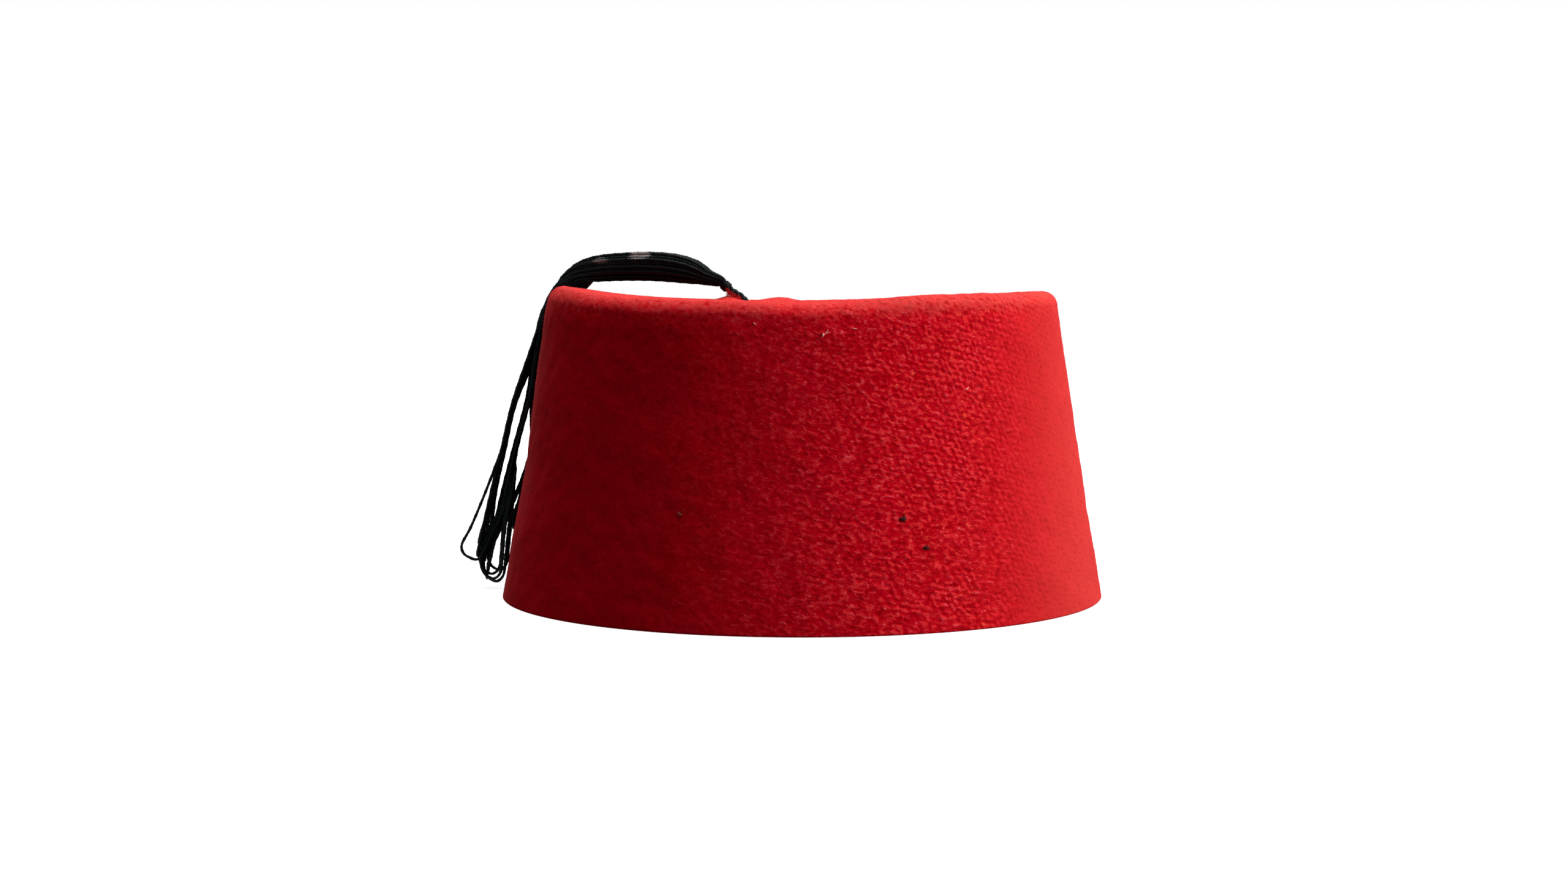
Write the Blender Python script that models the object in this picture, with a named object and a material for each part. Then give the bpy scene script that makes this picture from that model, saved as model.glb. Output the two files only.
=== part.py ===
"""Fez hat: a hollow felt crown and a tassel of black cords tied through its top.

Metres, +Z up. The rim stands on Z = 0, the front faces -Y and the tassel falls over the left side, at -X.
The origin is the middle of the whole object's footprint, so the crown's own axis stands AXIS_X to its right.
Places in the tables are measured from the crown's axis.
"""

from collections import namedtuple
from math import atan2, cos, degrees, exp, hypot, pi, radians, sin

import bmesh
import bpy
import numpy as np
from mathutils import Vector

MM = 0.001
UP = Vector((0, 0, 1))

# The crown, a felt cap
AXIS_X = 7.7 * MM
RIM_RADIUS = 95.2 * MM
SHOULDER_RADIUS = 80.8 * MM
SHOULDER_ROUNDING = 5.0 * MM
TOP_HEIGHT = 96.5 * MM
WAIST = 0.5 * MM  # how far the wall curves in from a straight line
FELT = 2.5 * MM
RIM_ROUNDING = 0.7 * MM
CROWN_SIDES = 60
OUTER_TOP_RINGS = (0, 4, 8, 12, 16, 20, 24, 29, 37, 48, 60, 70)
INNER_TOP_RINGS = (0, 6, 12, 18, 24, 34, 52, 70)
SHOULDER_ANGLES = (90, 66, 44, 22, 0)
WALL_STEPS = 7
DISH_HEIGHT = 93.0 * MM
DISH_POWER = 2.5
SAG_POWER = 3  # how fast the top's unevenness dies out down the wall

# Height of the top edge all round: the bearing is in degrees from +X, and 270 is the front
TopEdge = namedtuple("TopEdge", "bearing height")
TOP_EDGE = (
    TopEdge(0, 96.3 * MM),
    TopEdge(45, 94.8 * MM),
    TopEdge(90, 92.2 * MM),
    TopEdge(135, 94.0 * MM),
    TopEdge(163, 95.8 * MM),
    TopEdge(183, 97.9 * MM),
    TopEdge(204, 97.0 * MM),
    TopEdge(220, 95.6 * MM),
    TopEdge(236, 94.4 * MM),
    TopEdge(258, 94.0 * MM),
    TopEdge(275, 93.5 * MM),
    TopEdge(292, 95.2 * MM),
    TopEdge(315, 96.0 * MM),
)
EDGE_STEPS = 8

# Where the cord pulls the felt up round its hole, and where the wall is pushed in
Pucker = namedtuple("Pucker", "x y height spread")
PUCKERS = (
    Pucker(-23.0 * MM, 1.0 * MM, 1.7 * MM, 3.4 * MM),
    Pucker(-7.5 * MM, 3.0 * MM, 1.3 * MM, 6.0 * MM),
)
Dent = namedtuple("Dent", "bearing height depth half_angle half_height")
DENTS = (
    Dent(182, 44 * MM, 0.8 * MM, 24, 13 * MM),
    Dent(262, 70 * MM, 0.5 * MM, 12, 30 * MM),
    Dent(300, 40 * MM, 0.4 * MM, 16, 34 * MM),
    Dent(80, 55 * MM, 0.6 * MM, 20, 30 * MM),
)

# The binding, a few turns of thread where the thin neck meets the bundle of cords
NECK_RADIUS = 1.35 * MM
BINDING_PLACE = Vector((-24.2, 1.8, 97.8)) * MM
NECK_BEARING = 163
NECK_RISE = 40  # degrees above level, towards the bundle
BINDING_TURNS = 5
THREAD_RADIUS = 0.25 * MM
THREAD_ANGLES = (75, 25, -25, -75)
BINDING_WALL = 0.15 * MM
BINDING_SIDES = 16
GAP = 0.38 * MM

# The neck's way from the binding down through the top to the knot inside
RoutePoint = namedtuple("RoutePoint", "x y z")
NECK_ROUTE = (
    RoutePoint(-19.4 * MM, 1.0 * MM, 94.3 * MM),
    RoutePoint(-17.6 * MM, 0.7 * MM, 92.1 * MM),
    RoutePoint(-16.7 * MM, 0.6 * MM, 89.8 * MM),
    RoutePoint(-16.5 * MM, 0.6 * MM, 87.2 * MM),
)
NECK_SIDES = 12
NECK_STEPS = 3
KNOT_RADIUS = 4.4 * MM
KNOT_HALF_HEIGHT = 2.4 * MM
KNOT_SIDES = 16
KNOT_RINGS = 8

# The bundle's middle line, with its width along the crown's edge and its thickness
Section = namedtuple("Section", "x y z width thickness")
BUNDLE = (
    Section(-30.2 * MM, 3.6 * MM, 100.7 * MM, 7.2 * MM, 5.6 * MM),
    Section(-34.5 * MM, 5.2 * MM, 102.4 * MM, 9.8 * MM, 7.8 * MM),
    Section(-40.5 * MM, 7.4 * MM, 103.7 * MM, 11.4 * MM, 9.2 * MM),
    Section(-48.0 * MM, 10.2 * MM, 104.3 * MM, 12.6 * MM, 9.4 * MM),
    Section(-57.0 * MM, 14.2 * MM, 104.2 * MM, 13.8 * MM, 9.0 * MM),
    Section(-65.0 * MM, 18.0 * MM, 103.7 * MM, 15.2 * MM, 8.6 * MM),
    Section(-71.2 * MM, 22.0 * MM, 102.0 * MM, 17.0 * MM, 6.6 * MM),
    Section(-75.9 * MM, 25.0 * MM, 98.2 * MM, 17.6 * MM, 3.6 * MM),
    Section(-78.6 * MM, 26.2 * MM, 93.2 * MM, 18.0 * MM, 2.9 * MM),
    Section(-80.4 * MM, 26.0 * MM, 86.0 * MM, 18.5 * MM, 3.5 * MM),
    Section(-83.3 * MM, 24.6 * MM, 78.0 * MM, 19.5 * MM, 4.4 * MM),
    Section(-86.4 * MM, 22.8 * MM, 71.5 * MM, 19.0 * MM, 4.4 * MM),
    Section(-88.4 * MM, 21.6 * MM, 67.0 * MM, 13.0 * MM, 2.6 * MM),
)
HEAD_SIZES = (2.7 * MM, 2.7 * MM, 3.8 * MM)  # of the bundle's first sections, inside and past the binding
BUNDLE_STEPS = 2
RIDGES = 12
RIDGE_DEPTH = 0.1
POINTS_PER_RIDGE = 4

# The locks that hang from the bundle: how far left each is at four heights and at its tip, in mm
LOCK_RADIUS = 1.2 * MM
LOCK_SIDES = 6
LOCK_STEPS = 3
LOCK_HEIGHTS = (76, 60, 44, 28)
Lock = namedtuple("Lock", "x_at_76 x_at_60 x_at_44 x_at_28 tip_x tip_z top_y tip_y")
LOCKS = (
    Lock(-87.0, -93.1, -96.8, -101.3, -105.0, 13.5, 17.2, 13.0),
    Lock(-86.6, -93.5, -97.1, -100.8, -103.4, 12.5, 19.4, 16.6),
    Lock(-86.0, -88.6, -93.1, -98.0, -101.9, 4.6, 18.0, 13.0),
    Lock(-84.4, -85.8, -88.1, -94.0, -103.6, 9.8, 17.4, 10.6),
    Lock(-83.8, -86.0, -88.4, -93.4, -101.6, 11.0, 20.0, 14.0),
    Lock(-83.2, -85.4, -87.6, -90.4, -93.6, 9.5, 22.0, 22.6),
    Lock(-82.4, -84.0, -86.0, -89.0, -91.8, 11.0, 26.6, 29.4),
    Lock(-85.8, -94.0, -97.8, -100.9, -101.4, 10.5, 22.4, 21.6),
    Lock(-84.9, -89.9, -94.3, -98.4, -99.6, 12.0, 26.0, 27.4),
)

# Two cords whose looped ends stand clear of the rest
LOOP_RADIUS = 0.65 * MM
LOOP_STEPS = 3
OUTER_LOOP = (
    RoutePoint(-96.3 * MM, 14.0 * MM, 47.0 * MM),
    RoutePoint(-98.9 * MM, 12.0 * MM, 39.0 * MM),
    RoutePoint(-102.8 * MM, 10.5 * MM, 30.0 * MM),
    RoutePoint(-107.4 * MM, 9.8 * MM, 20.0 * MM),
    RoutePoint(-109.8 * MM, 9.6 * MM, 13.8 * MM),
    RoutePoint(-107.8 * MM, 9.8 * MM, 10.2 * MM),
    RoutePoint(-103.4 * MM, 11.6 * MM, 10.2 * MM),
)
LOWER_LOOP = (
    RoutePoint(-90.6 * MM, 12.2 * MM, 37.5 * MM),
    RoutePoint(-94.8 * MM, 8.8 * MM, 20.0 * MM),
    RoutePoint(-95.9 * MM, 7.8 * MM, 10.0 * MM),
    RoutePoint(-96.8 * MM, 7.6 * MM, 5.0 * MM),
    RoutePoint(-99.4 * MM, 8.2 * MM, 3.2 * MM),
    RoutePoint(-102.0 * MM, 9.8 * MM, 5.6 * MM),
    RoutePoint(-102.2 * MM, 12.6 * MM, 12.5 * MM),
)


def clear_scene():
    for thing in list(bpy.data.objects):
        bpy.data.objects.remove(thing, do_unlink=True)


def make_material(name, colour, roughness):
    material = bpy.data.materials.new(name)
    material.use_nodes = True
    shader = material.node_tree.nodes["Principled BSDF"]
    shader.inputs["Base Color"].default_value = (*colour, 1)
    shader.inputs["Roughness"].default_value = roughness
    shader.inputs["Metallic"].default_value = 0
    return material


def add_object(name, mesh, material=None, smooth_angle=50):
    """Turn a bmesh, built about the crown's axis, into an object."""
    data = bpy.data.meshes.new(name)
    bmesh.ops.recalc_face_normals(mesh, faces=mesh.faces)
    mesh.to_mesh(data)
    mesh.free()
    data.shade_smooth()
    data.set_sharp_from_angle(angle=radians(smooth_angle))
    thing = bpy.data.objects.new(name, data)
    thing.location.x = AXIS_X
    bpy.context.scene.collection.objects.link(thing)
    if material:
        data.materials.append(material)
    return thing


def as_guide(thing):
    """Mark an object that only shapes another one."""
    thing.hide_render = True
    thing.display_type = "WIRE"
    return thing


def apply_boolean(thing, operation, guide):
    modifier = thing.modifiers.new(operation.title(), "BOOLEAN")
    modifier.operation = operation
    modifier.solver = "EXACT"
    modifier.object = as_guide(guide)


def smooth_rows(rows, steps):
    """More rows, on a smooth curve through the given ones, with all their columns."""
    rows = np.array([rows[0], *rows, rows[-1]], dtype=float)
    curve = []
    for before, start, end, after in zip(rows, rows[1:], rows[2:], rows[3:]):
        for t in np.arange(steps) / steps:
            bend = 2 * before - 5 * start + 4 * end - after
            twist = 3 * start - before - 3 * end + after
            curve.append(start + 0.5 * t * ((end - before) + t * (bend + t * twist)))
    return np.array([*curve, rows[-1]])


def sweep(places, widths, thicknesses, outline):
    """A closed solid along a line, whose section is the outline scaled at every place."""
    mesh = bmesh.new()
    tangents = [Vector(step).normalized() for step in np.gradient(places, axis=0)]
    side = UP.cross(tangents[0]).normalized()
    rings = []
    for index, place in enumerate(places):
        tangent = tangents[index]
        side = tangents[max(index - 1, 0)].rotation_difference(tangent) @ side
        rise = tangent.cross(side)
        across = side * widths[index] / 2
        through = rise * thicknesses[index] / 2
        rings.append([mesh.verts.new(Vector(place) + across * u + through * v) for u, v in outline])
    for ring, following in zip(rings, rings[1:]):
        for corner, _ in enumerate(outline):
            mesh.faces.new((ring[corner - 1], ring[corner], following[corner], following[corner - 1]))
    mesh.faces.new(rings[0])
    mesh.faces.new(rings[-1])
    return mesh


def circle_outline(sides):
    return [(cos(2 * pi * i / sides), sin(2 * pi * i / sides)) for i in range(sides)]


def ridged_outline(ridges, depth, points_per_ridge):
    """A round section with a ridge for every lock of cords."""
    outline = []
    for u, v in circle_outline(ridges * points_per_ridge):
        reach = 1 - depth * (0.5 - 0.5 * cos(ridges * atan2(v, u)))
        outline.append((u * reach, v * reach))
    return outline


def tube(places, radius, sides):
    diameters = [2 * radius] * len(places)
    return sweep(places, diameters, diameters, circle_outline(sides))


def turned(profile, sides):
    """Spin a profile of (radius, height) points about the Z axis."""
    mesh = bmesh.new()
    points = [mesh.verts.new((radius, 0, height)) for radius, height in profile]
    edges = [mesh.edges.new(pair) for pair in zip(points, points[1:])]
    bmesh.ops.spin(
        mesh,
        geom=points + edges,
        cent=(0, 0, 0),
        axis=UP,
        angle=2 * pi,
        steps=sides,
        use_merge=True,
    )
    bmesh.ops.remove_doubles(mesh, verts=mesh.verts, dist=0.001 * MM)
    return mesh


def wall_radius(height):
    """The crown's outer radius, a straight taper that is drawn in at the waist."""
    share = height / (TOP_HEIGHT - SHOULDER_ROUNDING)
    return RIM_RADIUS - (RIM_RADIUS - SHOULDER_RADIUS) * share - 4 * WAIST * share * (1 - share)


def half_profile(depth, top_rings, rim_height):
    """One face of the felt, from the middle of the top down to the rim, at a depth under the outside."""
    points = [(ring * MM, TOP_HEIGHT - depth) for ring in top_rings]
    for angle in SHOULDER_ANGLES:
        bend = SHOULDER_ROUNDING - depth
        out = SHOULDER_RADIUS - SHOULDER_ROUNDING + bend * cos(radians(angle))
        points.append((out, TOP_HEIGHT - SHOULDER_ROUNDING + bend * sin(radians(angle))))
    for height in np.linspace(TOP_HEIGHT - SHOULDER_ROUNDING, rim_height, WALL_STEPS + 1)[1:]:
        points.append((wall_radius(height) - depth, height))
    return points


def edge_curve():
    """Bearings and heights of the top edge, past a full turn at both ends."""
    before = [TopEdge(row.bearing - 360, row.height) for row in TOP_EDGE[-2:]]
    after = [TopEdge(row.bearing + 360, row.height) for row in TOP_EDGE[:2]]
    return smooth_rows([*before, *TOP_EDGE, *after], EDGE_STEPS).T


def top_height(x, y, edge):
    """Height of the crown's top surface: a dish up to its uneven edge, with the puckers."""
    edge_height = np.interp(degrees(atan2(y, x)) % 360, *edge)
    share = min(hypot(x, y) / (SHOULDER_RADIUS - SHOULDER_ROUNDING), 1)
    height = DISH_HEIGHT + (edge_height - DISH_HEIGHT) * share**DISH_POWER
    for pucker in PUCKERS:
        away = hypot(x - pucker.x, y - pucker.y) / pucker.spread
        height += pucker.height * exp(-away * away)
    return height


def dent_depth(x, y, z):
    depth = 0
    for dent in DENTS:
        turn = (degrees(atan2(y, x)) - dent.bearing + 180) % 360 - 180
        away = hypot(turn / dent.half_angle, (z - dent.height) / dent.half_height)
        depth += dent.depth * exp(-away * away)
    return depth


def shape_crown(mesh):
    """Give the turned cap its uneven top and the dents in its wall."""
    edge = edge_curve()
    for vert in mesh.verts:
        x, y, z = vert.co
        fade = min(z / (TOP_HEIGHT - FELT), 1) ** SAG_POWER
        vert.co.z += fade * (top_height(x, y, edge) - TOP_HEIGHT)
        inward = dent_depth(x, y, z) * (hypot(x, y) / RIM_RADIUS) ** 2
        vert.co.xy *= 1 - inward / max(hypot(x, y), MM)


def build_crown(material):
    outside = half_profile(0, OUTER_TOP_RINGS, RIM_ROUNDING)
    inside = half_profile(FELT, INNER_TOP_RINGS, RIM_ROUNDING)
    foot = [(RIM_RADIUS - RIM_ROUNDING, 0), (RIM_RADIUS - FELT + RIM_ROUNDING, 0)]
    mesh = turned([*outside, *foot, *reversed(inside)], CROWN_SIDES)
    shape_crown(mesh)
    crown = add_object("crown", mesh, material)
    hole = add_object("hole_guide", tube(neck_places(), NECK_RADIUS + GAP, NECK_SIDES))
    apply_boolean(crown, "DIFFERENCE", hole)


def on_neck(distance):
    """A place on the neck's line through the binding, with the bundle's side positive."""
    level = cos(radians(NECK_RISE))
    bearing = radians(NECK_BEARING)
    return BINDING_PLACE + distance * Vector((level * cos(bearing), level * sin(bearing), sin(radians(NECK_RISE))))


def binding_half_length():
    return BINDING_TURNS * THREAD_RADIUS


def neck_places():
    start = [on_neck(-GAP / 2), on_neck(-GAP / 2 - 2 * binding_half_length())]
    return smooth_rows([*start, *NECK_ROUTE], NECK_STEPS)


def build_cord(material):
    cord = add_object("tassel_cord", tube(neck_places(), NECK_RADIUS, NECK_SIDES), material)
    knot = bmesh.new()
    bmesh.ops.create_uvsphere(knot, u_segments=KNOT_SIDES, v_segments=KNOT_RINGS, radius=KNOT_RADIUS)
    bmesh.ops.scale(knot, vec=(1, 1, KNOT_HALF_HEIGHT / KNOT_RADIUS), verts=knot.verts)
    bmesh.ops.translate(knot, vec=Vector(NECK_ROUTE[-1]), verts=knot.verts)
    apply_boolean(cord, "UNION", add_object("knot_guide", knot))


def build_binding(material):
    """Turns of thread side by side, on a sleeve that clears the neck."""
    half = binding_half_length()
    inner = NECK_RADIUS + GAP
    profile = [(inner, -half), (inner, half)]
    for turn in reversed(range(BINDING_TURNS)):
        middle = (2 * turn + 1) * THREAD_RADIUS - half
        for angle in THREAD_ANGLES:
            reach = inner + BINDING_WALL + THREAD_RADIUS * cos(radians(angle))
            profile.append((reach, middle + THREAD_RADIUS * sin(radians(angle))))
    profile.append(profile[0])
    mesh = turned(profile, BINDING_SIDES)
    turn_to_neck = UP.rotation_difference(on_neck(1) - on_neck(0)).to_matrix()
    bmesh.ops.rotate(mesh, cent=(0, 0, 0), matrix=turn_to_neck, verts=mesh.verts)
    bmesh.ops.translate(mesh, vec=BINDING_PLACE, verts=mesh.verts)
    add_object("tassel_binding", mesh, material)


def build_bundle():
    start = [on_neck(GAP / 2), on_neck(binding_half_length()), on_neck(2 * binding_half_length())]
    rows = [Section(*place, size, size) for place, size in zip(start, HEAD_SIZES)]
    rows = smooth_rows([*rows, *BUNDLE], BUNDLE_STEPS)
    return sweep(rows[:, :3], rows[:, 3], rows[:, 4], ridged_outline(RIDGES, RIDGE_DEPTH, POINTS_PER_RIDGE))


def build_lock(lock):
    heights = [*LOCK_HEIGHTS, lock.tip_z]
    share = np.linspace(0, 1, len(heights))
    depths = lock.top_y + share * (lock.tip_y - lock.top_y)
    places = np.column_stack([lock[: len(heights)], depths, heights]) * MM
    return tube(smooth_rows(places, LOCK_STEPS), LOCK_RADIUS, LOCK_SIDES)


def build_tassel(material):
    tassel = add_object("tassel", build_bundle(), material)
    for index, lock in enumerate(LOCKS):
        apply_boolean(tassel, "UNION", add_object(f"lock_guide_{index}", build_lock(lock)))
    for index, route in enumerate((OUTER_LOOP, LOWER_LOOP)):
        loop = tube(smooth_rows(route, LOOP_STEPS), LOOP_RADIUS, LOCK_SIDES)
        apply_boolean(tassel, "UNION", add_object(f"loop_guide_{index}", loop))


clear_scene()
felt = make_material("red_felt", (0.42, 0.008, 0.012), 0.95)
cord_black = make_material("black_cord", (0.008, 0.009, 0.012), 0.45)
build_crown(felt)
build_cord(cord_black)
build_binding(cord_black)
build_tassel(cord_black)
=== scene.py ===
# %% [markdown]
# # A felt fez with a tassel of looped cords
#
# A fez is one piece of wool felt, pulled over a block while it is wet. It has no seam: the wall runs up
# into a rounded shoulder and a flat top. A thin cord comes up through a hole in that top, and a hank of
# black cords is bound to its end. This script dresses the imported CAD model: it loads the model as a fixed
# frame, sets up the picture, and then makes each piece again with the detail that the real one shows.
#
# All sizes are in metres. `MM` keeps them readable.

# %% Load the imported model
from collections import namedtuple
from math import cos, pi, radians, sin

import bmesh
import bpy
import numpy as np
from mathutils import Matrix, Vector, noise


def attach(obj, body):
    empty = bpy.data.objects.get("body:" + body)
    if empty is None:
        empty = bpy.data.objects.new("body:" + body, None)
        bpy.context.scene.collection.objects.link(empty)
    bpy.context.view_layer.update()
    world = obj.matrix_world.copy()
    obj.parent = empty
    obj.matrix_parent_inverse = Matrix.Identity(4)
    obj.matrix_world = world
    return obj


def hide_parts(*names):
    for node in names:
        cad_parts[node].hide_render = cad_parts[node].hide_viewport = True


MM = 0.001
UP = Vector((0, 0, 1))
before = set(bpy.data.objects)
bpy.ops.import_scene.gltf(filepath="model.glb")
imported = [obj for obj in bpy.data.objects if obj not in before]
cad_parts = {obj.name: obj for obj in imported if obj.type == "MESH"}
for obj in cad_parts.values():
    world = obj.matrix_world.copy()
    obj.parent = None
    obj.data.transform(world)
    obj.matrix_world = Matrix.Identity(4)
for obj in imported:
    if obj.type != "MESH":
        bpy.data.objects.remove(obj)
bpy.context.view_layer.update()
CROWN_AXIS = Vector((7.7, 0, 0)) * MM  # the crown stands a little right of the whole object's middle
print("CAD nodes:", sorted(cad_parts))

# %% [markdown]
# ## The picture
#
# A low camera 75 cm away shows a little of the top edge's far side and none of the top itself. It looks down
# by four degrees, and its small sideways shift puts the hat where the picture has it.


# %% Camera
def placed(name, data):
    """Make an object of its data and put it into the scene."""
    thing = bpy.data.objects.new(name, data)
    bpy.context.scene.collection.objects.link(thing)
    return thing


FOCAL_LENGTH = 54.155  # in mm, behind a picture 36 mm wide
CAMERA_PLACE = CROWN_AXIS + Vector((0, -750, 101.7)) * MM
CAMERA_PITCH = 4.04  # degrees below level
SIDE_SHIFT = -29.5 / 2560  # of the picture's width

camera_data = bpy.data.cameras.new("camera")
camera_data.lens = FOCAL_LENGTH
camera_data.shift_x = SIDE_SHIFT
camera = placed("camera", camera_data)
camera.location = CAMERA_PLACE
camera.rotation_euler = (radians(90 - CAMERA_PITCH), 0, 0)
bpy.context.scene.camera = camera
print(f"camera: {-CAMERA_PLACE.y / MM:.0f} mm from the crown's axis, {CAMERA_PLACE.z / MM:.0f} mm up")

# %% [markdown]
# ## Light
#
# The felt is bright on the right, dark on the left and bright again along its top edge. So one big soft box
# stands on the right, a little in front, with a smaller one behind it, and a third hangs overhead. The white
# room around them is almost only seen by the camera: if it lit the hat as much, the dark side would go pale.
# Standard colour keeps the red pure.

# %% Soft boxes
SoftBox = namedtuple("SoftBox", "name x y z size power")
HAT_MIDDLE = Vector((0, 0, 0.05))
SOFT_BOXES = (
    SoftBox("right_box", 1.2, -0.5, 0.55, 0.9, 17.5),
    SoftBox("rear_right_box", 0.9, 0.55, 0.5, 0.6, 5),
    SoftBox("top_box", 0.05, 0.17, 1.2, 0.8, 18),
)
for row in SOFT_BOXES:
    light = bpy.data.lights.new(row.name, "AREA")
    light.shape = "SQUARE"
    light.size = row.size
    light.energy = row.power
    box = placed(row.name, light)
    box.location = (row.x, row.y, row.z)
    box.rotation_euler = (HAT_MIDDLE - box.location).to_track_quat("-Z", "Y").to_euler()
    print(f"{row.name}: {row.size} m wide, {row.power} W")

# %% White room
ROOM_LIGHT = 0.1
world = bpy.data.worlds.new("room")
world.use_nodes = True
bpy.context.scene.world = world
tree = world.node_tree
room = tree.nodes["Background"]
seen = tree.nodes.new("ShaderNodeBackground")
for glow, strength in ((room, ROOM_LIGHT), (seen, 1)):
    glow.inputs["Color"].default_value = (1, 1, 1, 1)
    glow.inputs["Strength"].default_value = strength
path = tree.nodes.new("ShaderNodeLightPath")
choose = tree.nodes.new("ShaderNodeMixShader")
tree.links.new(path.outputs["Is Camera Ray"], choose.inputs[0])
tree.links.new(room.outputs[0], choose.inputs[1])
tree.links.new(seen.outputs[0], choose.inputs[2])
tree.links.new(choose.outputs[0], tree.nodes["World Output"].inputs["Surface"])
bpy.context.scene.view_settings.view_transform = "Standard"
print(f"room: white to the camera, and {ROOM_LIGHT} of that to the hat")

# %% [markdown]
# ## Shader maths in Python
#
# A procedural finish is a formula over the surface. Writing it as a Python expression is easier to read than
# a web of nodes, so `Value` wraps a socket: each `+`, `-`, `*`, `/` or `**` adds the Math node that does it,
# and so does `1 - share`, with a plain number on the left.
# `Finish` holds one material, and its `node` method adds any other kind of node.


# %% Value: a socket in an expression
def operator(operation):
    """An operator's method, and its reflected form for when a plain number stands on the left."""

    def straight(self, other):
        return self.finish.maths(operation, self, other)

    def reflected(self, other):
        return self.finish.maths(operation, other, self)

    return straight, reflected


class Value:
    """A shader socket that can stand in a Python expression."""

    __add__, __radd__ = operator("ADD")
    __sub__, __rsub__ = operator("SUBTRACT")
    __mul__, __rmul__ = operator("MULTIPLY")
    __truediv__, __rtruediv__ = operator("DIVIDE")
    __pow__, __rpow__ = operator("POWER")

    def __init__(self, finish, socket):
        self.finish = finish
        self.socket = socket

    def part(self, output):
        """Another output of the same node."""
        return Value(self.finish, self.socket.node.outputs[output])


# %% Finish: a material
class Finish:
    """A material, made from a Principled shader and whatever nodes feed it."""

    def __init__(self, name, **constants):
        self.material = bpy.data.materials.new(name)
        self.material.use_nodes = True
        self.shader = self.material.node_tree.nodes["Principled BSDF"]
        for socket, value in constants.items():
            self.shader.inputs[socket.replace("_", " ")].default_value = value

    def node(self, kind, settings, inputs, output=0):
        """Add a node: first its settings, then the values or links of its sockets."""
        node = self.material.node_tree.nodes.new(kind)
        for name, setting in settings.items():
            setattr(node, name, setting)
        for socket, value in inputs.items():
            self.feed(node.inputs[socket], value)
        return Value(self, node.outputs[output])

    def feed(self, socket, value):
        if isinstance(value, Value):
            self.material.node_tree.links.new(value.socket, socket)
        else:
            socket.default_value = value

    def set(self, socket, value):
        self.feed(self.shader.inputs[socket], value)

    def maths(self, operation, *values):
        return self.node("ShaderNodeMath", {"operation": operation}, dict(enumerate(values)))

    def xyz(self, place):
        """The three numbers of a place."""
        x = self.node("ShaderNodeSeparateXYZ", {}, {0: place})
        return x, x.part("Y"), x.part("Z")

    def mix(self, share, first, second):
        """The first colour where share is 0 and the second where it is 1."""
        settings = {"data_type": "RGBA"}
        return self.node("ShaderNodeMix", settings, {0: share, 6: first, 7: second}, output=2)

    def noise(self, place, scale, detail=2, roughness=0.5, distortion=0):
        inputs = {"Vector": place, "Scale": scale, "Detail": detail, "Roughness": roughness}
        return self.node("ShaderNodeTexNoise", {}, {**inputs, "Distortion": distortion})

    def ease(self, value, low, high):
        """0 below low, 1 above high and a soft step between them."""
        settings = {"interpolation_type": "SMOOTHSTEP"}
        return self.node("ShaderNodeMapRange", settings, {"Value": value, "From Min": low, "From Max": high})

    def bump(self, height, depth):
        inputs = {"Height": height, "Distance": depth, "Strength": 1.0}
        self.set("Normal", self.node("ShaderNodeBump", {}, inputs))

    def dress(self, *pieces):
        """Give the finish to its pieces."""
        for piece in pieces:
            piece.data.materials.append(self.material)
        names = ", ".join(piece.name for piece in pieces)
        print(f"{self.material.name}: {len(self.material.node_tree.nodes)} nodes, on {names}")


# %% [markdown]
# ## The crown's form
#
# The wall tapers from the rim to the shoulder and is drawn in a little at the waist. Wool felt never dries
# quite even: the top edge rises and falls by a few millimetres, the top is dished, the felt is pulled up
# round the cord's hole, and the wall has shallow dents. Short tables hold those and a few functions read
# them. They repeat the CAD model's sizes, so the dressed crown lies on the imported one. Only the last dent is
# new: the tassel presses the shoulder in a little where its cords bend over it.

# %% Sizes of the crown
RIM_RADIUS = 95.2 * MM
SHOULDER_RADIUS = 80.8 * MM
SHOULDER_ROUNDING = 5.0 * MM
TOP_HEIGHT = 96.5 * MM
WAIST = 0.5 * MM  # how far the wall is drawn in, halfway up
FELT = 2.5 * MM
RIM_ROUNDING = 0.7 * MM
DISH_HEIGHT = 93.0 * MM  # of the top's middle
DISH_POWER = 2.5  # how late the dish rises to its edge
SAG_POWER = 3  # how fast the top's unevenness dies out down the wall

# Bearings run in degrees from +X, and 270 is the front
TopEdge = namedtuple("TopEdge", "bearing height")
TOP_EDGE = (
    TopEdge(0, 96.3 * MM),
    TopEdge(45, 94.8 * MM),
    TopEdge(90, 92.2 * MM),
    TopEdge(135, 94.0 * MM),
    TopEdge(163, 95.8 * MM),
    TopEdge(183, 97.9 * MM),
    TopEdge(204, 97.0 * MM),
    TopEdge(220, 95.6 * MM),
    TopEdge(236, 94.4 * MM),
    TopEdge(258, 94.0 * MM),
    TopEdge(275, 93.5 * MM),
    TopEdge(292, 95.2 * MM),
    TopEdge(315, 96.0 * MM),
)
Pucker = namedtuple("Pucker", "x y height spread")
PUCKERS = (
    Pucker(-23.0 * MM, 1.0 * MM, 1.7 * MM, 3.4 * MM),
    Pucker(-7.5 * MM, 3.0 * MM, 1.3 * MM, 6.0 * MM),
)
Dent = namedtuple("Dent", "bearing height depth half_angle half_height")
DENTS = (
    Dent(182, 44 * MM, 0.8 * MM, 24, 13 * MM),
    Dent(262, 70 * MM, 0.5 * MM, 12, 30 * MM),
    Dent(300, 40 * MM, 0.4 * MM, 16, 34 * MM),
    Dent(80, 55 * MM, 0.6 * MM, 20, 30 * MM),
    Dent(178, 95 * MM, 1.3 * MM, 24, 5 * MM),
)
print(f"crown: {2 * RIM_RADIUS / MM:.1f} mm across its rim, {2 * SHOULDER_RADIUS / MM:.1f} mm at its top")


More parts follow.
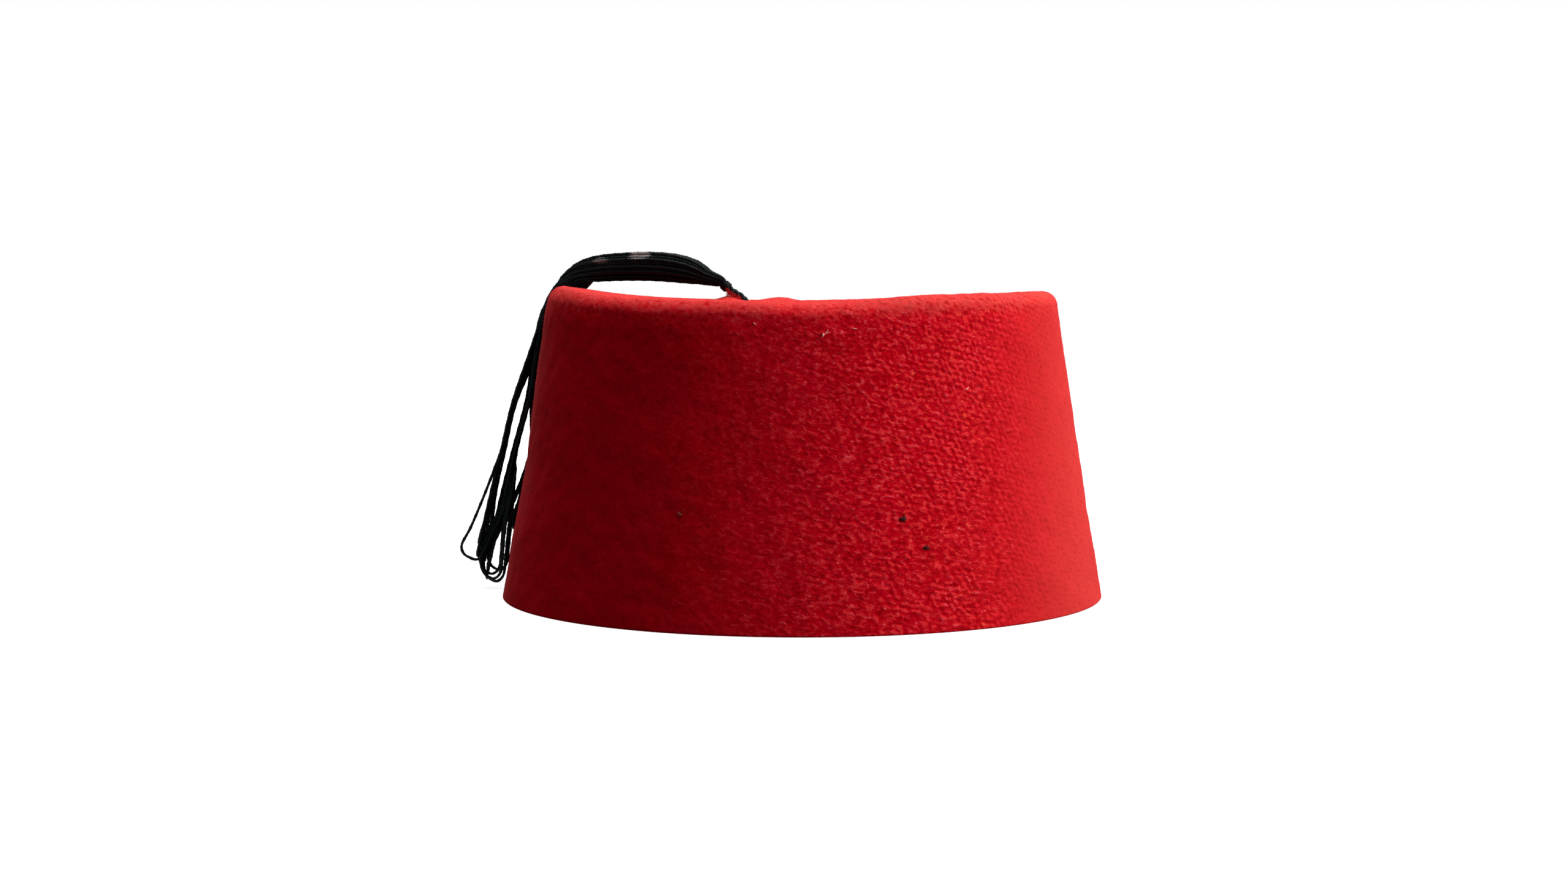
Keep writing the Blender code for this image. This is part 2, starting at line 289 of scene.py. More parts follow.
# %% Smooth curves through a few rows
def smooth_rows(rows, steps):
    """More rows, on a smooth curve through the given ones, with all their columns."""
    rows = np.array([rows[0], *rows, rows[-1]], dtype=float)
    curve = []
    for before, start, end, after in zip(rows, rows[1:], rows[2:], rows[3:]):
        for t in np.arange(steps) / steps:
            bend = 2 * before - 5 * start + 4 * end - after
            twist = 3 * start - before - 3 * end + after
            curve.append(start + 0.5 * t * ((end - before) + t * (bend + t * twist)))
    return np.array([*curve, rows[-1]])


EDGE_STEPS = 8  # between one row and the next
before_zero = [TopEdge(row.bearing - 360, row.height) for row in TOP_EDGE[-2:]]
past_full_turn = [TopEdge(row.bearing + 360, row.height) for row in TOP_EDGE[:2]]
edge_bearings, edge_heights = smooth_rows([*before_zero, *TOP_EDGE, *past_full_turn], EDGE_STEPS).T
print(f"top edge: {len(TOP_EDGE)} rows smoothed into {len(edge_heights)}")


# %% Functions of the crown's form
def wall_radius(height):
    share = height / (TOP_HEIGHT - SHOULDER_ROUNDING)
    return RIM_RADIUS - (RIM_RADIUS - SHOULDER_RADIUS) * share - 4 * WAIST * share * (1 - share)


def top_height(x, y):
    """Height of the crown's top: a dish up to its uneven edge, with the puckers."""
    edge_height = np.interp(np.degrees(np.arctan2(y, x)) % 360, edge_bearings, edge_heights)
    share = np.minimum(np.hypot(x, y) / (SHOULDER_RADIUS - SHOULDER_ROUNDING), 1)
    height = DISH_HEIGHT + (edge_height - DISH_HEIGHT) * share**DISH_POWER
    for pucker in PUCKERS:
        away = np.hypot(x - pucker.x, y - pucker.y) / pucker.spread
        height += pucker.height * np.exp(-away * away)
    return height


def dent_depth(x, y, z):
    depth = np.zeros_like(x)
    for dent in DENTS:
        turn = (np.degrees(np.arctan2(y, x)) - dent.bearing + 180) % 360 - 180
        away = np.hypot(turn / dent.half_angle, (z - dent.height) / dent.half_height)
        depth += dent.depth * np.exp(-away * away)
    return depth


print(f"halfway up, the wall is {2 * wall_radius(TOP_HEIGHT / 2) / MM:.1f} mm across")

# %% [markdown]
# ## Spinning the felt
#
# A felt cap is a body of revolution before it is dried and handled, so the mesh starts as one profile with
# both faces of the felt and the cut rim, spun about the axis. A full spin closes itself when `use_merge` is
# on. The rings are about a millimetre apart outside, so that soft lumps in the felt can be real relief.

# %% Profile of the felt
CROWN_SIDES = 480
Rings = namedtuple("Rings", "top shoulder wall")
OUTER_RINGS = Rings(38, 8, 78)
INNER_RINGS = Rings(18, 4, 22)
RIM_STEPS = 3


def half_profile(depth, rings):
    """One face of the felt, from the middle of the top down to the rim, at a depth under the outside."""
    flat = SHOULDER_RADIUS - SHOULDER_ROUNDING
    spring = TOP_HEIGHT - SHOULDER_ROUNDING
    bend = SHOULDER_ROUNDING - depth
    points = [(radius, TOP_HEIGHT - depth) for radius in np.linspace(0, flat, rings.top + 1)[:-1]]
    for angle in np.linspace(pi / 2, 0, rings.shoulder + 1):
        points.append((flat + bend * cos(angle), spring + bend * sin(angle)))
    for height in np.linspace(spring, RIM_ROUNDING, rings.wall + 1)[1:]:
        points.append((wall_radius(height) - depth, height))
    return points


def rim_profile():
    """The cut edge, rounded on both corners."""
    points = []
    for start, middle in ((0, RIM_RADIUS - RIM_ROUNDING), (pi / 2, RIM_RADIUS - FELT + RIM_ROUNDING)):
        for angle in start + np.linspace(0, pi / 2, RIM_STEPS + 1):
            points.append((middle + RIM_ROUNDING * cos(angle), RIM_ROUNDING - RIM_ROUNDING * sin(angle)))
    return points[1:-1]


def spun(profile, sides):
    """Turn a profile of (radius, height) points into a closed skin about the Z axis."""
    mesh = bmesh.new()
    points = [mesh.verts.new((radius, 0, height)) for radius, height in profile]
    edges = [mesh.edges.new(pair) for pair in zip(points, points[1:])]
    geometry = points + edges
    bmesh.ops.spin(mesh, geom=geometry, cent=(0, 0, 0), axis=UP, angle=2 * pi, steps=sides, use_merge=True)
    bmesh.ops.remove_doubles(mesh, verts=mesh.verts, dist=0.001 * MM)
    bmesh.ops.recalc_face_normals(mesh, faces=mesh.faces)
    return mesh


def new_piece(name, mesh):
    """Make an object of a bmesh, with its place in its mesh."""
    data = bpy.data.meshes.new(name)
    bmesh.ops.translate(mesh, verts=mesh.verts, vec=CROWN_AXIS)
    mesh.to_mesh(data)
    mesh.free()
    data.shade_smooth()
    return placed(name, data)


crown_profile = half_profile(0, OUTER_RINGS) + rim_profile() + half_profile(FELT, INNER_RINGS)[::-1]
crown_mesh = spun(crown_profile, CROWN_SIDES)
print(f"crown: {len(crown_profile)} rings of {CROWN_SIDES} sides")

# %% Lumps, dents and the uneven top
Lump = namedtuple("Lump", "size height")
LUMPS = (Lump(14 * MM, 0.30 * MM), Lump(5 * MM, 0.16 * MM), Lump(2.2 * MM, 0.12 * MM))
LUMP_FREE_FOOT = 4 * MM  # the lumps fade out towards the rim, so it stands flat


def lump_height(place):
    return sum(lump.height * noise.noise(place / lump.size) for lump in LUMPS)


for vert in crown_mesh.verts:
    foot = min(vert.co.z / LUMP_FREE_FOOT, 1)
    vert.co += vert.normal * lump_height(vert.co) * foot

places = np.array([vert.co for vert in crown_mesh.verts])
fade = np.minimum(places[:, 2] / (TOP_HEIGHT - FELT), 1) ** SAG_POWER
reach = np.hypot(places[:, 0], places[:, 1])
sag = fade * (top_height(places[:, 0], places[:, 1]) - TOP_HEIGHT)
inward = dent_depth(*places.T) * (reach / RIM_RADIUS) ** 2
for vert, drop, depth in zip(crown_mesh.verts, sag, inward / np.maximum(reach, MM)):
    vert.co.z += drop
    vert.co.xy *= 1 - depth
crown = new_piece("felt_crown", crown_mesh)

# %% [markdown]
# ## The neck of cord and its hole
#
# The tassel hangs on one thin cord of three plies laid together. It is knotted inside the crown, comes up
# through a hole that it fills, and ends in a small wound binding. The hole is cut with a Boolean, because
# the cord passes through the felt at a slant. The cord itself is three round tubes that wind about one line:
# a curve bevelled by a round section gives such a tube, and a loop works out the turning frame along it.


# %% Lines and frames
def in_mm(*rows):
    """A table of sizes in millimetres, turned into metres."""
    return np.array(rows) * MM


NECK_RADIUS = 1.35 * MM
BINDING_PLACE = Vector((-24.2, 1.8, 97.8)) * MM
NECK_BEARING = 163  # degrees from +X
NECK_RISE = 40  # degrees above level, towards the bundle
BINDING_TURNS = 5
THREAD_RADIUS = 0.25 * MM
BINDING_WALL = 0.15 * MM  # from the neck's side to the middle of the thread
GAP = 0.38 * MM  # left free round the neck and at both ends of the binding
NECK_ROUTE = in_mm(
    (-19.4, 1.0, 94.3),
    (-17.6, 0.7, 92.1),
    (-16.7, 0.6, 89.8),
    (-16.5, 0.6, 87.2),
)


def on_neck(distance):
    """A place on the neck's line through the binding, with the bundle's side positive."""
    level = cos(radians(NECK_RISE))
    bearing = radians(NECK_BEARING)
    way = Vector((level * cos(bearing), level * sin(bearing), sin(radians(NECK_RISE))))
    return BINDING_PLACE + distance * way


def distances(points):
    """How far along its line each point is."""
    steps = np.linalg.norm(np.diff(points[:, :3], axis=0), axis=1)
    return np.concatenate([[0], np.cumsum(steps)])


def evenly(points, spacing):
    """Points a given distance apart on the line through the given ones, with all their columns."""
    along = distances(points)
    places = np.linspace(0, along[-1], max(int(along[-1] / spacing), 2) + 1)
    return np.column_stack([np.interp(places, along, column) for column in points.T])


def carried_frames(points):
    """The side and rise directions along a line, turned as little as the line allows."""
    tangents = [Vector(step).normalized() for step in np.gradient(points[:, :3], axis=0)]
    side = UP.cross(tangents[0]).normalized()
    frames = []
    for last, tangent in zip([tangents[0], *tangents], tangents):
        side = (last.rotation_difference(tangent) @ side).normalized()
        frames.append((side, tangent.cross(side)))
    return frames


print(f"neck: rises {NECK_RISE} degrees towards the bundle at bearing {NECK_BEARING}")


# %% Tubes from curves
def round_section(name, sides, squash=1):
    """A closed outline in the curve's own plane, for bevelling other curves: flatter with a lower squash."""
    data = bpy.data.curves.new(name, "CURVE")
    data.dimensions = "2D"
    outline = data.splines.new("POLY")
    outline.points.add(sides - 1)
    for index, point in enumerate(outline.points):
        angle = 2 * pi * index / sides
        point.co = (cos(angle), squash * sin(angle), 0, 1)
    outline.use_cyclic_u = True
    return placed(name, data)


def tubes(name, lines, section, twist_pitch=None):
    """One mesh of tubes: each line has rows of x, y, z and radius, and turns once in every twist pitch."""
    data = bpy.data.curves.new(name, "CURVE")
    data.dimensions = "3D"
    data.bevel_mode = "OBJECT"
    data.bevel_object = section
    data.use_fill_caps = True
    for line in lines:
        spline = data.splines.new("POLY")
        spline.points.add(len(line) - 1)
        shifted = line[:, :3] + np.array(CROWN_AXIS)
        spline.points.foreach_set("co", np.column_stack([shifted, np.ones(len(line))]).ravel())
        spline.points.foreach_set("radius", line[:, 3])
        spline.use_smooth = True
        if twist_pitch:
            spline.points.foreach_set("tilt", 2 * pi * (distances(line) / twist_pitch))
    curve = placed(name + "_line", data)
    bpy.context.view_layer.update()
    mesh = bpy.data.meshes.new_from_object(curve.evaluated_get(bpy.context.evaluated_depsgraph_get()))
    mesh.name = name
    bpy.data.objects.remove(curve)
    mesh.shade_smooth()
    print(f"{name}: {len(lines)} tubes, {len(mesh.polygons)} faces")
    return placed(name, mesh)


# %% Hole in the top
HOLE_SIDES = 24
HOLE_SPACING = 0.3 * MM
neck_start = [on_neck(-GAP / 2), on_neck(-GAP / 2 - 2 * BINDING_TURNS * THREAD_RADIUS)]
neck_line = evenly(smooth_rows([*neck_start, *NECK_ROUTE], 12), HOLE_SPACING)
hole_line = np.column_stack([neck_line, np.full(len(neck_line), NECK_RADIUS + GAP)])
hole_section = round_section("hole_section", HOLE_SIDES)
hole_guide = tubes("hole_guide", [hole_line], hole_section)
bpy.data.objects.remove(hole_section)


def cut(piece, guide):
    """Cut the guide's shape out of a piece, and throw the guide away."""
    modifier = piece.modifiers.new("cut", "BOOLEAN")
    modifier.solver = "EXACT"
    modifier.object = guide
    bpy.context.view_layer.update()
    whole = piece.evaluated_get(bpy.context.evaluated_depsgraph_get())
    old_mesh = piece.data
    piece.data = bpy.data.meshes.new_from_object(whole)
    piece.data.name = old_mesh.name
    piece.modifiers.clear()
    bpy.data.objects.remove(guide)


cut(crown, hole_guide)
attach(crown, "root")
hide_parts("crown")
print(f"crown: {len(crown.data.polygons)} faces with its hole")

# %% [markdown]
# ## The tassel's cords
#
# The tassel is a hank of twisted cords. Each cord leaves the binding, runs over the top beside the others,
# bends over the edge, falls, turns back in a loop and climbs up again. So a cord is one line from binding to
# binding. Over the top it keeps its place in the bundle, whose width and thickness a table gives. From the
# edge down the cords hang in flat locks of two loops side by side, and a lock is a row of another table. Two
# looser loops stand clear of the locks. The cord is a flattened section that turns as it goes, which shows
# the two plies of a real twisted cord.

# %% Sizes of the bundle
# A section's row: the middle's x, y and z, then the width and the thickness
BUNDLE = in_mm(
    (-30.2, 3.6, 100.7, 7.2, 5.6),
    (-34.5, 5.2, 102.4, 9.8, 8.4),
    (-40.5, 7.4, 103.7, 11.4, 9.9),
    (-48.0, 10.2, 104.3, 12.6, 10.2),
    (-57.0, 14.2, 104.2, 13.8, 9.9),
    (-65.0, 18.0, 103.6, 15.2, 9.3),
    (-71.2, 22.0, 102.0, 17.0, 6.9),
    (-75.3, 25.0, 98.2, 17.6, 3.6),
    (-79.1, 25.6, 93.0, 18.0, 3.4),
    (-82.1, 24.8, 85.6, 18.0, 4.2),
)
HEAD_SIZES = (2.7 * MM, 2.7 * MM, 3.8 * MM)  # of the bundle's first sections, in and past the binding
print(f"bundle: {len(BUNDLE)} sections, {BUNDLE[:, 2].max() / MM:.1f} mm up where it arches over the top")

# %% Sizes of the locks and loops
# A lock's row is in mm: how far to the side and how far back it hangs at each height and at its tip
LOCK_HEIGHTS = (76, 60, 44, 28)
Lock = namedtuple("Lock", "x_at_76 x_at_60 x_at_44 x_at_28 tip_x tip_z top_y tip_y")
LOCKS = (
    Lock(-88.2, -93.7, -97.5, -101.4, -104.9, 11.4, 16.4, 12.2),
    Lock(-87.8, -94.1, -97.9, -101.9, -103.6, 9.5, 20.6, 16.8),
    Lock(-86.6, -89.0, -93.4, -96.9, -102.1, 4.6, 17.0, 12.6),
    Lock(-85.6, -89.2, -93.2, -95.6, -103.6, 9.8, 21.2, 11.0),
    Lock(-85.0, -88.4, -88.8, -94.2, -101.6, 11.0, 24.2, 15.0),
    Lock(-83.2, -85.4, -88.6, -93.2, -95.0, 19.0, 27.6, 24.6),
    Lock(-82.4, -84.0, -86.0, -89.0, -91.8, 11.0, 30.6, 30.4),
    Lock(-86.6, -94.1, -97.9, -101.3, -102.8, 8.0, 24.8, 21.2),
    Lock(-87.4, -90.6, -95.0, -99.2, -101.4, 16.5, 26.4, 25.4),
)
BACK_LOCKS = (
    Lock(-83.4, -86.4, -89.0, -92.6, -95.0, 20.0, 29.0, 31.0),
    Lock(-82.6, -84.6, -87.2, -90.4, -92.2, 24.0, 31.0, 32.6),
    Lock(-83.0, -85.8, -88.0, -90.0, -91.0, 26.0, 33.0, 34.0),
)
OUTER_LOOP = in_mm(
    (-96.9, 14.0, 47.0),
    (-99.6, 12.0, 39.0),
    (-103.0, 10.5, 30.0),
    (-107.2, 9.8, 20.0),
    (-110.3, 9.6, 13.8),
    (-108.3, 9.8, 10.3),
    (-103.4, 11.6, 10.8),
)
LOWER_LOOP = in_mm(
    (-93.2, 12.6, 36.0),
    (-95.0, 9.2, 20.0),
    (-95.9, 7.8, 10.0),
    (-96.6, 7.6, 4.9),
    (-99.2, 8.2, 2.9),
    (-102.6, 9.8, 5.4),
    (-103.0, 12.6, 12.5),
)
# Four cords share the lower loop, each moved a little aside, in mm
LOWER_LOOP_ASIDES = ((0, 0, -0.4), (-1.5, 1.1, 1.9), (-0.8, -1.1, 0.6), (0.8, 2.2, 3.1))
print(f"below the edge: {len(LOCKS + BACK_LOCKS)} locks and two looser loops")

# %% The bundle's frames
CORD_RADIUS = 0.56 * MM
CORD_FILL = 0.78  # how much of a bundle's section its cords fill
CORDS = 50
head = [on_neck(GAP / 2), on_neck(BINDING_TURNS * THREAD_RADIUS), on_neck(2 * BINDING_TURNS * THREAD_RADIUS)]
head_rows = [(*place, size, size) for place, size in zip(head, HEAD_SIZES)]
bundle_line = smooth_rows([*head_rows, *BUNDLE], 4)
bundle_frames = carried_frames(bundle_line)
print(f"the bundle's line: {distances(bundle_line)[-1] / MM:.0f} mm from the binding to below the edge")


def cord_radius(width, thickness):
    """Cords that are squeezed into a small section are drawn thinner."""
    return min(CORD_RADIUS, np.sqrt(CORD_FILL * width * thickness / (4 * CORDS)))


def in_bundle(across, through):
    """The line of a cord that keeps its place in the bundle, from the binding to the edge."""
    points = []
    for row, (side, rise) in zip(bundle_line, bundle_frames):
        width, thickness = row[3:]
        radius = cord_radius(width, thickness)
        place = Vector(row[:3]) + side * across * (width / 2 - radius)
        place += rise * through * (thickness / 2 - radius)
        points.append((*place, radius))
    return np.array(points)


# %% Places of the cords in the bundle
GOLDEN_ANGLE = pi * (3 - 5**0.5)


def packed_places(count):
    """Places spread evenly over a disc of radius 1, from its front edge to its back."""
    places = [(((i + 0.5) / count) ** 0.5, i * GOLDEN_ANGLE) for i in range(count)]
    return sorted((reach * cos(angle), reach * sin(angle)) for reach, angle in places)


bundle_places = packed_places(CORDS)
print(f"bundle: {CORDS} places, {len(bundle_line)} sections")


# %% Ways down
def lock_line(lock, lean=(0, 0), rise=0):
    """A lock's middle line, leant aside, with its tip drawn up."""
    heights = np.array([*LOCK_HEIGHTS, lock.tip_z + rise])
    share = np.linspace(0, 1, len(heights))
    depths = lock.top_y + share * (lock.tip_y - lock.top_y)
    return np.column_stack([np.array(lock[: len(heights)]) + lean[0], depths + lean[1], heights]) * MM


def looped(down, up, turn=None):
    """A cord's hanging stretch: down one line, round a turn and up the other."""
    middle = [] if turn is None else [turn]
    return np.vstack([down, *middle, up[::-1]])


# %% Hanging loops
TURN_DROP = np.array([0, 0, 0.9 * MM])  # how far a loop's turn hangs below its strands' ends
LOCK_SIDE = 1.15  # in mm, from the middle of a lock to the middle of each of its two loops
LOOP_LEAN = 0.25  # in mm, either way
LOOP_HALF = (0.55, 0.65)  # in mm: half the distance between a loop's two strands
SHORTER = (1.5, 5)  # in mm: how much higher the second loop of a lock turns back
rng = np.random.default_rng(7)


def lock_loops(lock):
    """Two loops of cord that make one flat lock: they lie side by side, and one is a little shorter."""
    loops = []
    for side, rise in ((-1, 0), (1, rng.uniform(*SHORTER))):
        lean, half = rng.uniform(-LOOP_LEAN, LOOP_LEAN), rng.uniform(*LOOP_HALF)
        down = lock_line(lock, (lean, side * LOCK_SIDE + half), rise)
        up = lock_line(lock, (-lean, side * LOCK_SIDE - half), rise)
        turn = (down[-1] + up[-1]) / 2 - TURN_DROP
        down[-1] += TURN_DROP
        up[-1] += TURN_DROP
        loops.append(looped(down, up, turn))
    return loops


hanging = [loop for lock in LOCKS for loop in lock_loops(lock)]
first, third, fourth = lock_line(LOCKS[0]), lock_line(LOCKS[2]), lock_line(LOCKS[3])
hanging.append(looped(np.vstack([first[:2], OUTER_LOOP]), fourth[:4]))
for aside in LOWER_LOOP_ASIDES:
    lower_loop = np.array(LOWER_LOOP)
    lower_loop[1:] += np.array(aside) * MM
    hanging.append(looped(np.vstack([fourth[:3], lower_loop]), third[:4]))
hanging += [loop for lock in BACK_LOCKS for loop in lock_loops(lock)][: CORDS // 2 - len(hanging)]
print(f"{len(hanging)} looped cords make {2 * len(hanging)} strands")

# %% Whole cords, from binding to binding
CORD_SPACING = 0.62 * MM
PLY_PITCH = 4.2 * MM  # of one ply: with two, the cord turns once in twice that
CORD_SIDES = 6
CORD_SQUASH = 0.84


def whole_cord(hang, place_down, place_up):
    """Over the top, down, round the loop and back over the top to the binding."""
    middle = np.column_stack([hang, np.full(len(hang), CORD_RADIUS)])
    over = in_bundle(*place_down)[::2]
    back = in_bundle(*place_up)[::2]
    return evenly(smooth_rows([*over, *middle, *back[::-1]], 8), CORD_SPACING)


# %% Cords of the tassel
# The hanging ends are ordered by their depth, so that few cords cross where they bend over the edge
END_SHUFFLE = (0, 1.5)  # in mm
ends = [(hang[0][1] + rng.uniform(*END_SHUFFLE) * MM, index, "down") for index, hang in enumerate(hanging)]
ends += [(hang[-1][1] + rng.uniform(*END_SHUFFLE) * MM, index, "up") for index, hang in enumerate(hanging)]
place_of = {
    (index, way): (-across, through)
    for (_, index, way), (across, through) in zip(sorted(ends, key=lambda end: end[0]), bundle_places)
}
cords = [whole_cord(hang, place_of[i, "down"], place_of[i, "up"]) for i, hang in enumerate(hanging)]
cord_section = round_section("cord_section", CORD_SIDES, CORD_SQUASH)
tassel = tubes("tassel_cords", cords, cord_section, 2 * PLY_PITCH)
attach(tassel, "root")
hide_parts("tassel")
lengths = [distances(cord)[-1] for cord in cords]
print(f"{len(cords)} cords: {min(lengths) / MM:.0f} to {max(lengths) / MM:.0f} mm, {sum(lengths):.1f} m")

# %% Neck and knot
PLY_RADIUS = 0.66 * MM
PLY_OFFSET = 0.7 * MM
NECK_PITCH = 6 * MM
KNOT_SIZE = 1.0 * MM
KNOT_STRETCH = (0.1, 2 * pi - 0.5)  # of the full turn: what is left out keeps its two ends apart
PLY_SIDES = 10
PLY_SPACING = 0.35 * MM


def overhand_knot(start, size, count=48):
    """A loose overhand knot below the start: a trefoil line, left open where the cord comes in and ends."""
    turns = np.linspace(*KNOT_STRETCH, count)
    x = size * (np.sin(turns) + 2 * np.sin(2 * turns))
    y = size * (np.cos(turns) - 2 * np.cos(2 * turns))
    z = -size * np.sin(3 * turns)
    return np.column_stack([x, y, z]) + np.array(start)


def plies(line, count, pitch, offset, radius):
    """Round plies that wind about one line."""
    turns = distances(line) / pitch
    frames = carried_frames(line)
    wound = []
    for ply in range(count):
        points = []
        for place, turn, (side, rise) in zip(line, turns, frames):
            angle = 2 * pi * (turn + ply / count)
            points.append((*(Vector(place) + offset * (side * cos(angle) + rise * sin(angle))), radius))
        wound.append(np.array(points))
    return wound


knot = overhand_knot(NECK_ROUTE[-1], KNOT_SIZE)
neck_and_knot = evenly(smooth_rows([*neck_start, *NECK_ROUTE[:-1], *knot], 6), PLY_SPACING)
ply_section = round_section("ply_section", PLY_SIDES)
neck = tubes("tassel_neck", plies(neck_and_knot, 3, NECK_PITCH, PLY_OFFSET, PLY_RADIUS), ply_section)
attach(neck, "root")
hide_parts("tassel_cord")

# %% Binding
THREAD_CLEARANCE = NECK_RADIUS + BINDING_WALL
THREAD_STEPS = 24  # in each turn of the binding


def binding_thread():
    """A thread wound side by side round the binding, from end to end."""
    half = BINDING_TURNS * THREAD_RADIUS - THREAD_RADIUS
    axis = (on_neck(1) - on_neck(0)).normalized()
    side = UP.cross(axis).normalized()
    rise = axis.cross(side)
    points = []
    for turn in np.linspace(0, BINDING_TURNS - 1, THREAD_STEPS * (BINDING_TURNS - 1) + 1):
        along = -half + 2 * half * turn / (BINDING_TURNS - 1)
        spoke = side * cos(2 * pi * turn) + rise * sin(2 * pi * turn)
        points.append((*(BINDING_PLACE + axis * along + spoke * THREAD_CLEARANCE), THREAD_RADIUS))
    return np.array(points)


binding = tubes("tassel_binding_thread", [binding_thread()], ply_section)
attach(binding, "root")
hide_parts("tassel_binding")
for section in (cord_section, ply_section):
    bpy.data.objects.remove(section)

# %% [markdown]
# ## Finish of the felt
#
# Wool felt for a fez is knitted first and then boiled, so the loops still show as shallow pits in rows that
# slope a little. The finish paints shade into those pits and a painted highlight onto the high knit between
# them, most on the right where the side light falls. Over them lies a tangle of fine fibres, lighter than the
# dyed ground: partly paler wool and partly painted highlight, strongest on the right and along the top edge.
# The ground's red carries painted light too: a brighter red on the shoulder where the top light falls, a pink
# painted sheen to the right, and a pale painted sheen along the top edge. The pattern has to follow the wall,
# so the finish unrolls it: the bearing times the radius is the distance along, and the height is the distance
# up. On the top the plain ground plan serves. The unrolled pattern has its seam at the back.
#
# In these formulas x, y and z are millimetres from the middle of the crown's foot, so `ease(x, 0, 45)` is a
# soft step that starts at the middle and ends 45 mm right of it. Shares of a colour run from 0 to 1.

# %% Where the pattern lies
PATTERN_RADIUS = 88.0  # in mm: the wall is unrolled at about its middle radius
TOP_PATTERN_REACH = 77.5  # in mm from the axis: inside it the pattern follows the ground plan
KNIT_SLOPE = 13  # degrees down to the right
STITCH_PITCH = (2.7, 1.7)  # in mm, along a row and from row to row
FIBRE_SLOPE = 14  # degrees down to the right
FIBRE_PITCH = (1.5, 0.5)  # in mm, along the fibres and across them


def object_place(finish):
    """The place on the piece, in millimetres from the middle of the crown's foot."""
    coordinates = finish.node("ShaderNodeTexCoord", {}, {}, output="Object")
    inputs = {"Vector": coordinates, "Scale": (1 / MM, 1 / MM, 1 / MM), "Location": tuple(-CROWN_AXIS / MM)}
    return finish.node("ShaderNodeMapping", {}, inputs)


def unrolled(finish, x, y, z):
    """Places in millimetres on the unrolled wall, or on the ground plan for the top."""
    along = finish.maths("ARCTAN2", x, 0 - y) * PATTERN_RADIUS
    reach = (x * x + y * y) ** 0.5
    wall = finish.node("ShaderNodeCombineXYZ", {}, {"X": along, "Y": z, "Z": reach})
    top = finish.node("ShaderNodeCombineXYZ", {}, {"X": x, "Y": y, "Z": z})
    return finish.mix(finish.maths("GREATER_THAN", reach, TOP_PATTERN_REACH), top, wall)


def turned_pattern(finish, place, slope, along, across):
    """Turn the pattern down to the right and stretch it, so that one unit is one repeat."""
    turn = (0, 0, -radians(slope))
    inputs = {"Vector": place, "Rotation": turn, "Scale": (along, across, across)}
    return finish.node("ShaderNodeMapping", {"vector_type": "TEXTURE"}, inputs)


print(f"knit: {STITCH_PITCH[0]} by {STITCH_PITCH[1]} mm a stitch, in rows that slope {KNIT_SLOPE} degrees")

# %% Knit and nap as patterns
KNIT_WARP = 1.2  # of a repeat: how far the rows wander
STITCH_LEAN = 0.5
KNIT_DEPTH = (0.015, 0.055)  # everywhere, and more where the boiling left the stitches whole
RUBBED_BEHIND = 0.65


def knit_relief(felt, place, x):
    """The boiled knit: grain along rows that slope down to the right, with the stitches just left."""
    rows = turned_pattern(felt, place, KNIT_SLOPE, *STITCH_PITCH)
    grain = felt.noise(rows, 1.4, detail=4, roughness=0.6, distortion=0.4)
    warp = felt.noise(place, 0.2, detail=1) * KNIT_WARP
    along, up, _ = felt.xyz(rows)
    across = up + warp
    stitch = along + STITCH_LEAN * across + warp
    knit = felt.maths("SINE", across * (2 * pi)) + felt.maths("SINE", stitch * (2 * pi))
    whole = felt.ease(felt.noise(place, 0.05), 0.30, 0.55)
    return grain + knit * (KNIT_DEPTH[0] + KNIT_DEPTH[1] * whole * felt.ease(x, 0, 45))


def raised_fibres(felt, place, high):
    """A tangle of fibres along the nap, in clumps, and thickest where the knit stands high."""
    strands = turned_pattern(felt, place, FIBRE_SLOPE, *FIBRE_PITCH)
    tangle = felt.noise(strands, 1.0, detail=3, roughness=0.6, distortion=0.5)
    clumped = felt.ease(felt.noise(place, 0.35), 0.42, 0.56)
    return felt.ease(tangle, 0.56, 0.64) * (0.2 + 0.8 * high) * (0.4 + 0.6 * clumped)


def rubbed_share(felt, x, y, z):
    """How far the nap is roughened: little at the front's left, most right of its middle, evenly behind.
    It also sets how strong the painted shade and highlights of the knit and fibres are.
    """
    front = (0.24 + 0.76 * felt.ease(x, -62, 24)) * (1 - 0.72 * felt.ease(x, 46, 76))
    elsewhere = felt.maths("MAXIMUM", felt.ease(y, -15, 30), felt.ease(z, 88, 95))
    return front + (RUBBED_BEHIND - front) * elsewhere


# %% The ground's red
GROUND_DARK = (0.50, 0.0002, 0.005, 1)
GROUND_BRIGHT = (0.63, 0.0008, 0.014, 1)
# The next three reds are painted light: a pink sheen for the wall's right, a pale sheen for the top edge, and
# a brighter red where the top light falls on the shoulder
RIGHT_SHEEN_RED = (0.70, 0.078, 0.062, 1)
TOP_SHEEN_RED = (0.46, 0.067, 0.053, 1)
SHOULDER_LIGHT_RED = (0.90, 0.004, 0.018, 1)


